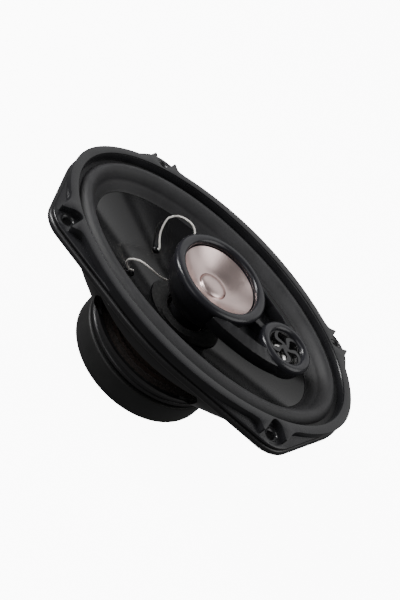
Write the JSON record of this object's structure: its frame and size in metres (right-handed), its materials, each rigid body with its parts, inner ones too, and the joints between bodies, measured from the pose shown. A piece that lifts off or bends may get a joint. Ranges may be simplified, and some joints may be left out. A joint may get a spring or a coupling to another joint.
{
  "type": "coaxial car speaker",
  "caption": "Oval coaxial car speaker with a black woofer cone, champagne mid-range dome driver and small grilled tweeter on a centre bridge.",
  "frame": {"origin": "centre of the magnet boot's back face", "axes": "+Z out of the front along the driver axis, +X along the long axis towards the small tweeter"},
  "size_m": [0.2386, 0.1608, 0.0949],
  "materials": {
    "basket": "satin black",
    "trim": "satin-gloss black",
    "rubber": "matte butyl rubber",
    "cone": "high-gloss black",
    "collar": "matte black",
    "former": "dark film",
    "copper": "enamelled copper wire",
    "spider": "resin-treated cloth",
    "steel": "plated steel",
    "ferrite": "sintered ferrite",
    "boot": "satin moulded rubber",
    "post": "satin black",
    "pod": "satin black",
    "bezel": "gloss black",
    "pink": "pink-champagne metallic",
    "grille": "gloss black",
    "silver": "bright plated",
    "connector": "matte black",
    "brass": "tinned brass",
    "capacitor": "sleeved aluminium can"
  },
  "bodies": {
    "frame": {"basket": "basket", "trim_ring": "trim", "surround": "rubber", "spider": "spider", "back_plate": "steel", "magnet_ring": "ferrite", "top_plate": "steel", "magnet_boot": "boot", "pod_post": "post", "post_bolt": "silver", "post_nut": "silver", "pod_housing": "pod", "mid_bezel": "bezel", "mid_surround": "rubber", "mid_yoke": "steel", "mid_magnet": "ferrite", "mid_top_plate": "steel", "tweeter_bezel": "bezel", "tweeter_grille": "grille", "tweeter_yoke": "steel", "tweeter_magnet": "ferrite", "tweeter_top_plate": "steel", "front_lead_far": "silver", "front_lead_near": "silver", "rear_lead_far": "silver", "rear_lead_near": "silver", "terminal_block": "connector", "terminal_positive": "brass", "terminal_negative": "brass", "crossover_capacitor": "capacitor", "plate_rivet_1": "silver", "plate_rivet_2": "silver", "plate_rivet_3": "silver", "plate_rivet_4": "silver"},
    "woofer": {"cone": "cone", "dust_collar": "collar", "voice_coil_former": "former", "voice_coil": "copper", "eyelet_far": "silver", "eyelet_near": "silver"},
    "mid_range": {"mid_cone": "pink", "mid_cap": "pink", "mid_voice_coil": "copper"},
    "tweeter": {"tweeter_dome": "silver", "tweeter_voice_coil": "copper"}
  },
  "joints": [
    {"name": "woofer_travel", "type": "slide", "parent": "frame", "child": "woofer", "axis": [0, 0, 1], "range_m": [-0.004, 0.004], "stiffness_N_per_m": 2500, "deforming": ["surround", "spider", "front_lead_far", "front_lead_near", "rear_lead_far", "rear_lead_near"]},
    {"name": "mid_range_travel", "type": "slide", "parent": "frame", "child": "mid_range", "axis": [0, 0, 1], "range_m": [-0.0005, 0.0005], "stiffness_N_per_m": 400, "deforming": ["mid_surround"]},
    {"name": "tweeter_travel", "type": "slide", "parent": "frame", "child": "tweeter", "axis": [0, 0, 1], "range_m": [-0.0002, 0.0002], "stiffness_N_per_m": 80}
  ]
}
